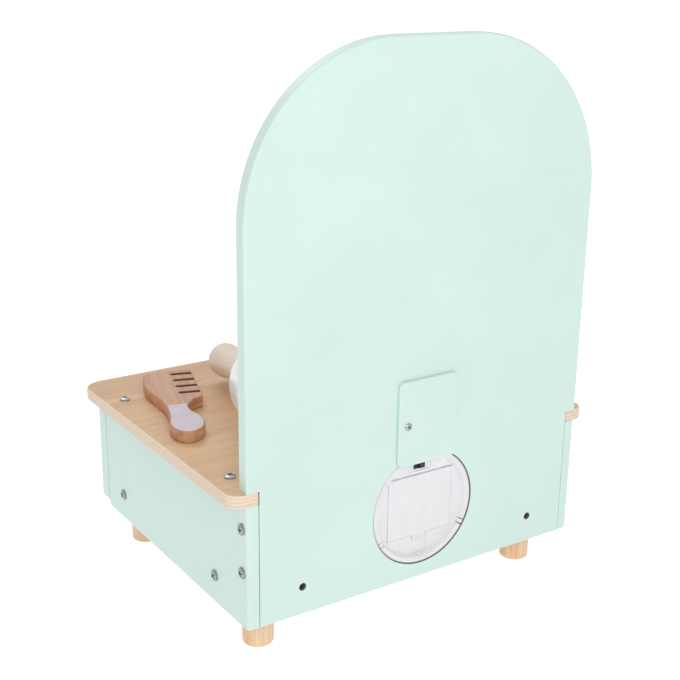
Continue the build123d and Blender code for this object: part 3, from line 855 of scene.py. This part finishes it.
def mirror_acrylic(name):
    """Silvered acrylic with the faint waviness of thin sheet."""
    surface, tree, shader = new_surface(name)
    wave = noise(tree, measured(tree), 9.0, 1.0)
    haze = noise(tree, measured(tree), 160.0, 2.0)
    colours = ramp(tree, wave, [(0.3, (240, 244, 243)), (0.7, (246, 248, 248))])
    finish_surface(tree, shader, colours, between(tree, haze, 0.012, 0.04), wave, 0.00008)
    shader.inputs["Metallic"].default_value = 1.0
    return surface


def light_outline(inset, hole=False):
    half = half_width - light_margin - inset
    top = panel_high[2] - light_margin - inset
    base = top_face + light_margin + inset
    radius = arch_radius - light_margin - inset
    corners = both_sides([(half, base, max(0.002, light_base_radius - inset)), (half, top, radius)])
    outline = rounded(corners, turn_step=2.0)
    return outline[::-1] if hole else outline


def front_depth(node):
    """How far behind the rear face the front of a node lies that is fixed on the panel's front."""
    low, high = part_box(node)
    return panel_thickness + high[1] - low[1]


mirror_rim = rounded_rim(front_depth("mirror_sheet"), panel_thickness, mirror_edge, glued_edge, steps=3)
mirror_form = board([(light_outline(light_width + mirror_gap), mirror_rim, 0)], behind)
silvered = mirror_acrylic("mirror_acrylic")
make_piece("mirror_plate", mirror_form, [silvered], "mirror_sheet")
frosted_plastic = mottled(
    "frosted_plastic",
    ((238, 240, 238), (246, 247, 245)),
    gloss=(0.34, 0.46),
    cloud=(60.0, 2.0),
    relief=(1500.0, 2.0),
    depth=0.00003,
    extra={"Subsurface Weight": 0.3, "Subsurface Radius": (0.004, 0.004, 0.004)},
)
light_rim = rounded_rim(front_depth("light_diffuser"), panel_thickness, light_round, glued_edge, steps=5)
light_loops = [(light_outline(0), light_rim, 0), (light_outline(light_width, True), light_rim, 0)]
light_form = board(light_loops, behind)
make_piece("light_ring", light_form, [frosted_plastic], "light_diffuser")
dress(moulded_plastic("light_strip", strip_colour, 0.5), "led_strip")


# Drawer
# A painted front with well-rounded edges on a plain birch box. Its inner front, sides and back
# are dowelled together round a thin sheet, and a turned beech knob is bolted through the front.

front_low, front_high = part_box("drawer_front")
front_corner = 0.006
front_round = 0.0025
front_back_round = 0.0006
knob_reach = front_low[1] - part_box("drawer_knob")[0][1]
box_colours = ((208, 176, 140), (224, 197, 163), (232, 208, 176))
sheet_colours = (*box_colours[:2], shade(box_colours[2], 1.02))
across_box = (0, 0, radians(90))
box_figure = (0.22, 0.013, 0.013)


def make_drawer_front():
    outline = rounded(upright_sheet(front_low, front_high, front_corner))
    rim = rounded_rim(front_high[1], front_low[1], front_back_round, front_round, steps=5)
    rim = [(inset, base, -shift) for inset, base, shift in rim]
    return board([(outline, rim, 0)], lambda x, z, y: (x, y, z))


def knob_profile():
    """Foot, narrow neck, full cheek and a softly domed face."""
    foot, foot_height = 0.0084, 0.0012
    waist, neck_length = 0.0070, 0.0098
    cheek, cheek_height = 0.0140, 0.0155
    profile = [(0, 0), (0.0083, 0), (0.0085, 0.0003), (foot, foot_height)]
    for k in range(1, 13):
        part = k / 12
        neck = waist + (foot - waist) * (1 - sin(pi * min(1, part * 1.15) / 2)) + 0.0024 * part**4
        profile.append((neck, foot_height + neck_length * part))
    for k in range(1, 13):
        angle = radians(-62 + 128 * k / 12)
        profile.append((cheek - 0.0047 * (1 - cos(angle)), cheek_height + 0.0052 * sin(angle)))
    edge, rise = profile[-1]
    for k in range(1, 8):
        part = k / 8
        profile.append((edge * (1 - part), rise + (knob_reach - rise) * (1 - (1 - part) ** 2)))
    return profile + [(0, knob_reach)]


make_piece("drawer_front_board", make_drawer_front(), [mint_paint], "drawer_front", "drawer")
knob_place = (0, front_low[1], middle_height("drawer_knob"))
knob_form = turned_form(bmesh.new(), knob_profile(), knob_place, (0, -1, 0))
knob_beech = beech_wood("knob_beech", across_box)
make_piece("beech_knob", knob_form, [knob_beech], "drawer_knob", "drawer")
box_wood = birch_face("box_wood", box_colours, figure=box_figure)
side_wood = birch_face("box_side_wood", box_colours, across_box, box_figure)
thin_ply = birch_face("thin_ply", sheet_colours, across_box, (0.3, 0.03, 0.03))
dress(box_wood, "drawer_inner_front", "drawer_back")
dress(side_wood, "drawer_side_right", "drawer_side_left")
dress(thin_ply, "drawer_bottom")
dress(beech_wood("dowel_beech", (0, 0, 0)), "drawer_dowels")


# Toy comb
# A thick comb sawn from a hardwood board, sanded round its edges, with the grip painted and the
# sawn edge left as bare wood all round. The walls of the gaps between its teeth are a dark brown,
# painted shade. It lies loose on the top.

comb_corner = (0.1056, rear_y - 0.1712)
comb_turn = radians(-107.8)
comb_low, comb_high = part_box("comb")
comb_round = 0.0012
comb_gap_width = 0.003
comb_gap_length = 0.0185
comb_pitch = 0.0156
comb_first_gap = 0.011
comb_end = [(0.0690, 0), (0.0670, 0.0330), (0.0657, 0.0378), (0.0635, 0.0405), (0.0601, 0.0428)]
comb_back = [(0.0560, 0.0436), (0.0320, 0.0446), (0.0080, 0.0390), (-0.0120, 0.0340)]
comb_back += [(-0.0370, 0.0337), (-0.0560, 0.0360), (-0.0700, 0.0330), (-0.0770, 0.0230)]
comb_back += [(-0.0710, 0.0130), (-0.0580, 0.0080), (-0.0440, 0.0094), (-0.0300, 0.0150)]
comb_back += [(-0.0180, 0.0150), (-0.0070, 0.0090), (0.0, 0.0)]
paint_start = -0.0162
paint_full = -0.0154
comb_face_colours = ((199, 155, 129), (212, 169, 143), (222, 181, 156))
comb_edge_colours = ((184, 128, 90), (205, 152, 114), (222, 174, 135))
comb_marks = (((0.018, 0.0006, 0.0006), 3.0, (226, 212, 202), 0.32, 0.62, 0.7),)


def smooth_through(points, steps=6):
    """Points of a smooth curve through the given ones."""
    count = len(points)
    curve = []
    for i in range(count - 1):
        p1, p2 = Vector(points[i]), Vector(points[i + 1])
        p0 = Vector(points[i - 1]) if i else p1 * 2 - p2
        p3 = Vector(points[i + 2]) if i + 2 < count else p2 * 2 - p1
        for k in range(steps):
            t = k / steps
            point = 0.5 * (2 * p1 + (p2 - p0) * t + (2 * p0 - 5 * p1 + 4 * p2 - p3) * t**2)
            point += 0.5 * (3 * p1 - p0 - 3 * p2 + p3) * t**3
            curve.append(tuple(point))
    return curve


def comb_outline():
    """Edge with four round-ended gaps, the far end, the back and the grip."""
    outline = [(0.0, 0.0)]
    half = comb_gap_width / 2
    for i in range(4):
        middle = comb_first_gap + comb_pitch * i
        top = comb_gap_length - half
        outline.append((middle - half, 0))
        for k in range(9):
            angle = pi - pi * k / 8
            outline.append((middle + half * cos(angle), top + half * sin(angle)))
        outline.append((middle + half, 0))
    return outline + comb_end + smooth_through(comb_back)


def comb_place(u, v, z):
    return (
        comb_corner[0] + u * cos(comb_turn) - v * sin(comb_turn),
        comb_corner[1] + u * sin(comb_turn) + v * cos(comb_turn),
        z,
    )


def grip_paint(tree, bare):
    """Pale lilac paint over the wood of the grip."""
    local = measured(tree, (1, 1, 1), (0, 0, comb_turn), (*comb_corner, 0))
    along = add(tree, "ShaderNodeSeparateXYZ", {0: local}).outputs["X"]
    cover = between(tree, along, 1.0, 0.0, paint_start, paint_full)
    cloud = noise(tree, measured(tree), 60.0, 2.0)
    paint = ramp(tree, cloud, [(0.3, (212, 202, 212)), (0.7, (220, 211, 221))])
    return mixed(tree, cover, bare, paint)


def comb_wood(name, colours, paint=None):
    """Reddish hardwood with straight grain."""
    along = (0, 0, comb_turn)
    figure = ((0.09, 0.006, 0.006), 3.0, 0.4)
    places = (0.32, 0.5, 0.68)
    return wood(name, along, figure, places, colours, comb_marks, (0.44, 0.58), 0.00005, paint=paint)


def make_comb():
    """The walls of the gaps take the third surface, a dark brown that paints the shade inside them."""
    rim = rounded_rim(comb_low[2], comb_high[2], comb_round, steps=4)
    mesh = board([(comb_outline(), rim, 1)], comb_place)
    for face in mesh.faces:
        offset = face.calc_center_median() - Vector((*comb_corner, 0))
        u = offset.x * cos(comb_turn) + offset.y * sin(comb_turn)
        v = -offset.x * sin(comb_turn) + offset.y * cos(comb_turn)
        nearest = round((u - comb_first_gap) / comb_pitch)
        beside = abs(u - comb_first_gap - comb_pitch * nearest) < comb_gap_width and 0 <= nearest <= 3
        if face.material_index == 1 and beside and 0.001 < v < comb_gap_length + 0.001:
            face.material_index = 2
    return mesh


# Dark brown on the walls of the gaps between the teeth: painted shade, as the sawn wood there is the same as
# on the rest of the edge.
comb_gap_painted_shade = mottled(
    "comb_gap_shade",
    ((84, 50, 34), (120, 76, 52)),
    gloss=(0.6, 0.75),
    cloud=(1.0, 2.0),
    depth=0.00005,
    size=(0.004, 0.004, 0.0006),
)
comb_face = comb_wood("comb_wood", comb_face_colours, grip_paint)
comb_surfaces = [comb_face, comb_wood("comb_side_wood", comb_edge_colours), comb_gap_painted_shade]
make_piece("wooden_comb", make_comb(), comb_surfaces, "comb", "comb")


# Toy hair dryer
# Three turned pieces: a barrel in white gloss paint, and a nozzle and a handle in pale limed
# wood that are glued into it. It lies loose on the top.

toy_gap = 0.0003
dryer_radius = 0.039
dryer_taper_start = 0.014
dryer_taper_end = 0.034
dryer_front_radius = 0.0363
dryer_length = 0.058
dryer_place = (0.0796, rear_y - 0.0847)
dryer_heading = (-20.2, -138.2)
nozzle_radius = 0.0135
nozzle_mouth = 0.0152
nozzle_root = 0.016
nozzle_end = 0.155
nozzle_socket = 0.009
handle_station = 0.026
handle_radius = 0.010
handle_length = 0.104
handle_lift = 0.0013
handle_socket = (0.0255, 0.038)
gloss_white = (251, 251, 251)
limed_colours = ((248, 231, 215), (252, 237, 222), (254, 243, 230))
limed_marks = (((0.016, 0.0007, 0.0007), 3.0, (240, 230, 220), 0.34, 0.6, 0.6),)


def dryer_axes():
    """Middle of the barrel's rear face, the direction of the barrel, the way across it, its tilt."""
    tilt = atan((dryer_radius - dryer_front_radius) / (dryer_taper_end - dryer_taper_start))
    run = hypot(*dryer_heading)
    ahead = Vector((dryer_heading[0] / run, dryer_heading[1] / run, 0))
    along = ahead * cos(tilt) - Vector((0, 0, sin(tilt)))
    rest = Vector((*dryer_place, top_face + toy_gap + dryer_radius * cos(tilt)))
    across = Vector((ahead.y, -ahead.x, 0))
    return rest - along * dryer_taper_start, along, across, tilt


def handle_axis():
    """Start and direction of the handle, which leans down until its end rests on the top."""
    origin, along, across, tilt = dryer_axes()
    start = origin + along * handle_station
    drop = start.z - top_face - toy_gap - handle_lift
    reach = hypot(handle_length, handle_radius)
    fall = (drop * handle_length - handle_radius * sqrt(reach**2 - drop**2)) / reach**2
    lean = asin(fall / cos(tilt))
    under = along.cross(across)
    if under.z > 0:
        under = -under
    return start, across * cos(lean) + under * sin(lean)


def bent(start, first, second, end, steps=14):
    """Points of a curve that leaves its start towards one point and meets its end from another."""
    points = []
    for k in range(steps + 1):
        t = k / steps
        weights = ((1 - t) ** 3, 3 * t * (1 - t) ** 2, 3 * t**2 * (1 - t), t**3)
        corners = (start, first, second, end)
        points.append(tuple(sum(w * c[axis] for w, c in zip(weights, corners)) for axis in (0, 1)))
    return points


def barrel_profile():
    slope = (dryer_front_radius - dryer_radius) / (dryer_taper_end - dryer_taper_start)
    rear = (dryer_radius - 0.013, 0)
    wide = (dryer_radius, dryer_taper_start)
    heel = bent(rear, (rear[0] + 0.0075, 0), (wide[0] - slope * 0.0075, wide[1] - 0.0075), wide)
    narrow = (dryer_front_radius, dryer_taper_end)
    face = (nozzle_root + 0.001, dryer_length)
    leaving = (narrow[0] + slope * 0.011, narrow[1] + 0.011)
    shoulder = bent(narrow, leaving, (face[0] + 0.012, face[1] - 0.0015), face)
    return [(0, 0)] + heel + shoulder + [(0, dryer_length)]


def nozzle_profile():
    """A peg in the barrel, a neck that narrows and flares, a rounded lip and a shallow dish."""
    start, end = dryer_length, nozzle_end
    peg = [(0, start - nozzle_socket), (nozzle_socket, start - nozzle_socket), (nozzle_socket, start)]
    root = (nozzle_root, start)
    waist = (nozzle_radius - 0.0008, start + 0.050)
    wide = (nozzle_mouth, end - 0.011)
    neck = bent(root, (root[0] - 0.002, start + 0.02), (waist[0], waist[1] - 0.02), waist, 10)
    flare = bent(waist, (waist[0], waist[1] + 0.02), (wide[0], wide[1] - 0.014), wide, 10)
    lip = bent(wide, (wide[0], end - 0.0035), (wide[0] - 0.0035, end), (0.0085, end), 12)
    dish = [(0.0075, end - 0.0003), (0.005, end - 0.0010), (0.0025, end - 0.0014), (0, end - 0.0016)]
    return peg + neck + flare[1:] + lip[1:] + dish


def handle_profile():
    """A plain round bar with a soft heel. Its first length is turned down to fit its socket."""
    bar_end = (handle_radius, handle_length)
    end = handle_length + 0.013
    leaving = (handle_radius, handle_length + 0.007)
    heel = bent(bar_end, leaving, (0.009, end - 0.001), (0.005, end - 0.001), 10)
    neck = handle_radius - 0.0008
    first, last = handle_socket
    return [(0, first), (neck, first), (neck, last)] + heel + [(0.0025, end - 0.0003), (0, end)]


def limed_wood(name, way):
    """Pale wood with white worked into its open grain."""
    along = tuple(Vector(way).to_track_quat("X", "Z").to_euler())
    figure = ((0.10, 0.008, 0.008), 2.0, 0.3)
    places = (0.3, 0.5, 0.7)
    return wood(name, along, figure, places, limed_colours, limed_marks, (0.44, 0.6), 0.00006, 0.6)


def turned_toy(name, profile, axis, surface, node):
    form = turned_form(bmesh.new(), profile, *axis, 128)
    make_piece(name, form, [surface], node, "dryer")


white_paint = mottled(
    "white_paint",
    (shade(gloss_white, 0.985), gloss_white),
    gloss=(0.24, 0.34),
    cloud=(16.0, 2.0),
    relief=(300.0, 2.0),
    depth=0.00005,
    extra={"Coat Weight": 0.3, "Coat Roughness": 0.1},
)
barrel_axis = dryer_axes()[:2]
grip_axis = handle_axis()
pale_wood = limed_wood("pale_wood", barrel_axis[1])
grip_wood = limed_wood("grip_wood", grip_axis[1])
turned_toy("dryer_barrel", barrel_profile(), barrel_axis, white_paint, "dryer_body")
turned_toy("dryer_spout", nozzle_profile(), barrel_axis, pale_wood, "dryer_nozzle")
turned_toy("dryer_grip", handle_profile(), grip_axis, grip_wood, "dryer_handle")


# Screws
# Cross-head screws with a domed, bright-plated head. The ones through the sides and the top
# stand proud, and the two in the back are sunk. Each is one head and shank, set where its hole
# is and turned as it stopped.

side_spots = ((-0.220, back_screw_z), (-0.051, back_screw_z), (-0.0075, 0.0795), (-0.0075, 0.115))
top_spots = ((0.155, -0.221), (0.155, -0.034), (-0.155, -0.221), (-0.155, -0.034))
side_places = []
for way in (1, -1):
    side_places += [((way * half_width, rear_y + y, z), (way, 0, 0)) for y, z in side_spots]
top_places = [((x, rear_y + y, top_face), (0, 0, 1)) for x, y in top_spots]
back_y = rear_y - back_screw_depth
back_places = [((x, back_y, back_screw_z), (0, 1, 0)) for x in (back_screw_x, -back_screw_x)]
plate_places = [((0.0195, plate_high[1], 0.1685), (0, 1, 0))]
wood_screw = {"Head Radius": 0.0045, "Head Height": 0.0022, "Shank Radius": 0.0018, "Length": 0.026}
back_screw = {"Head Radius": 0.0027, "Head Height": 0.0012, "Shank Radius": 0.0018, "Length": 0.026}
small_screw = {"Head Radius": 0.0030, "Head Height": 0.0016, "Shank Radius": 0.0013, "Length": 0.009}


def screw_maker():
    """Node tree that stands a cross-head screw on every point, along that point's own direction."""
    tree = bpy.data.node_groups.new("cross_head_screws", "GeometryNodeTree")
    kinds = {"Places": "Geometry", "Head Radius": "Float", "Head Height": "Float", "Shank Radius": "Float"}
    kinds.update({"Length": "Float", "Finish": "Material", "Recess Shade": "Material"})
    for name, kind in kinds.items():
        tree.interface.new_socket(name=name, in_out="INPUT", socket_type="NodeSocket" + kind)
    tree.interface.new_socket(name="Screws", in_out="OUTPUT", socket_type="NodeSocketGeometry")
    given = add(tree, "NodeGroupInput").outputs
    radius, height, shank_radius = given["Head Radius"], given["Head Height"], given["Shank Radius"]

    def step(kind, inputs=None, **settings):
        return add(tree, "GeometryNode" + kind, inputs, **settings).outputs[0]

    def calculate(operation, first, second=0.0, third=0.0):
        inputs = {0: first, 1: second, 2: third}
        return add(tree, "ShaderNodeMath", inputs, operation=operation).outputs[0]

    def vector(x=0.0, y=0.0, z=0.0):
        return add(tree, "ShaderNodeCombineXYZ", {0: x, 1: y, 2: z}).outputs[0]

    def position():
        return add(tree, "ShaderNodeSeparateXYZ", {0: step("InputPosition")}).outputs

    def moved(geometry, z):
        return step("Transform", {"Geometry": geometry, "Translation": vector(z=z)})

    def coated(geometry):
        return step("SetMaterial", {"Geometry": geometry, "Material": given["Finish"]})

    # Head: a disc lowered towards its rim, with two arms cut out of it
    inputs = {"Vertices": 40, "Side Segments": 5, "Fill Segments": 7, "Radius": radius, "Depth": height}
    blank = step("MeshCylinder", inputs)
    here = position()
    squares = [calculate("MULTIPLY", here[i], here[i]) for i in (0, 1)]
    away = calculate("DIVIDE", calculate("SQRT", calculate("ADD", *squares)), radius)
    fall = calculate("MULTIPLY_ADD", calculate("POWER", away, 3.5), -0.5, 1.0)
    raised = calculate("ADD", here[2], calculate("MULTIPLY", height, 0.5))
    domed = vector(here[0], here[1], calculate("MULTIPLY", raised, fall))
    head = step("SetPosition", {"Geometry": blank, "Position": domed})
    arm_length = calculate("MULTIPLY", radius, 1.10)
    arm_width = calculate("MULTIPLY", radius, 0.22)
    arm_depth = calculate("MULTIPLY", height, 1.2)
    recessed = add(tree, "GeometryNodeMeshBoolean", {"Mesh 1": head}, operation="DIFFERENCE", solver="EXACT")
    for size in (vector(arm_length, arm_width, arm_depth), vector(arm_width, arm_length, arm_depth)):
        tree.links.new(moved(step("MeshCube", {"Size": size}), height), recessed.inputs["Mesh 2"])
    whole_head = coated(recessed.outputs[0])

    # Faces inside the recess take a near-black metal: painted shade in the cross
    spot = position()
    off_x, off_y = calculate("ABSOLUTE", spot[0]), calculate("ABSOLUTE", spot[1])
    inside = []
    for across, down in ((off_x, off_y), (off_y, off_x)):
        narrow = calculate("LESS_THAN", across, calculate("MULTIPLY", arm_width, 0.52))
        short = calculate("LESS_THAN", down, calculate("MULTIPLY", arm_length, 0.52))
        inside.append(calculate("MULTIPLY", narrow, short))
    above = calculate("GREATER_THAN", spot[2], calculate("MULTIPLY", height, 0.2))
    chosen = calculate("MULTIPLY", calculate("MAXIMUM", *inside), above)
    inputs = {"Geometry": whole_head, "Selection": chosen, "Material": given["Recess Shade"]}
    whole_head = step("SetMaterial", inputs)

    # Shank and tip
    straight = calculate("MULTIPLY", given["Length"], 0.86)
    shank = step("MeshCylinder", {"Vertices": 24, "Radius": shank_radius, "Depth": straight})
    shank = coated(moved(shank, calculate("MULTIPLY", straight, -0.5)))
    tip = calculate("SUBTRACT", given["Length"], straight)
    inputs = {"Vertices": 24, "Radius Top": shank_radius, "Radius Bottom": 0.0, "Depth": tip}
    point = coated(moved(step("MeshCone", inputs), calculate("MULTIPLY", given["Length"], -1.0)))
    whole = add(tree, "GeometryNodeJoinGeometry")
    for part in (whole_head, shank, point):
        tree.links.new(part, whole.inputs[0])

    # One on each point, turned as it happened to stop
    way = step("InputNamedAttribute", {"Name": "way"}, data_type="FLOAT_VECTOR")
    stand = add(tree, "FunctionNodeAlignRotationToVector", {"Vector": way}, axis="Z").outputs[0]
    stopped = add(tree, "FunctionNodeRandomValue", {3: 1.5, "Seed": 7}, data_type="FLOAT").outputs[1]
    twist = add(tree, "FunctionNodeAxisAngleToRotation", {"Axis": (0, 0, 1), "Angle": stopped}).outputs[0]
    inputs = {"Rotation": stand, "Rotate By": twist}
    turn = add(tree, "FunctionNodeRotateRotation", inputs, rotation_space="LOCAL").outputs[0]
    inputs = {"Points": given["Places"], "Instance": whole.outputs[0], "Rotation": turn}
    real = step("RealizeInstances", {"Geometry": step("InstanceOnPoints", inputs)})
    tree.links.new(real, add(tree, "NodeGroupOutput").inputs[0])
    return tree


def make_screws(name, node, places, sizes, finish):
    """One mesh of like screws, each at a place and along a direction."""
    seeds = bpy.data.meshes.new(name)
    seeds.from_pydata([place for place, way in places], [], [])
    ways = seeds.attributes.new("way", "FLOAT_VECTOR", "POINT")
    for i, (place, way) in enumerate(places):
        ways.data[i].vector = way
    maker = bpy.data.objects.new(name + "_maker", seeds)
    scene.collection.objects.link(maker)
    setter = maker.modifiers.new("screws", "NODES")
    setter.node_group = screw_tree
    values = {**sizes, "Finish": finish, "Recess Shade": recess_painted_shade}
    for item in screw_tree.interface.items_tree:
        if item.in_out == "INPUT" and item.name in values:
            setter[item.identifier] = values[item.name]
    graph = bpy.context.evaluated_depsgraph_get()
    data = bpy.data.meshes.new_from_object(maker.evaluated_get(graph))
    bpy.data.objects.remove(maker)
    data.name = name
    data.shade_smooth()
    data.set_sharp_from_angle(angle=radians(30))
    screws = bpy.data.objects.new(name, data)
    scene.collection.objects.link(screws)
    belongs(screws, node, "table")


screw_tree = screw_maker()
steel = bright_metal("steel", (172, 175, 179), 0.2)
# The side screws are the same plated screws as the top ones, in a darker copy of the metal: painted shade on
# the sides.
side_steel_painted_shade = bright_metal("side_steel_painted_shade", (150, 156, 156), 0.24)
dark_steel = bright_metal("dark_steel", (84, 80, 76), 0.36)
# Near-black metal for the inside of the cross recess: painted shade.
recess_painted_shade = bright_metal("recess_painted_shade", (38, 38, 40), 0.4)
make_screws("side_screw_set", "side_screws", side_places, wood_screw, side_steel_painted_shade)
make_screws("top_screw_set", "tabletop_screws", top_places, wood_screw, steel)
make_screws("back_screw_set", "back_screws", back_places, back_screw, dark_steel)
make_screws("plate_screw", "cover_plate_screw", plate_places, small_screw, steel)
dress(steel, "foot_screws", "drawer_screws", "knob_screw", "module_screws")
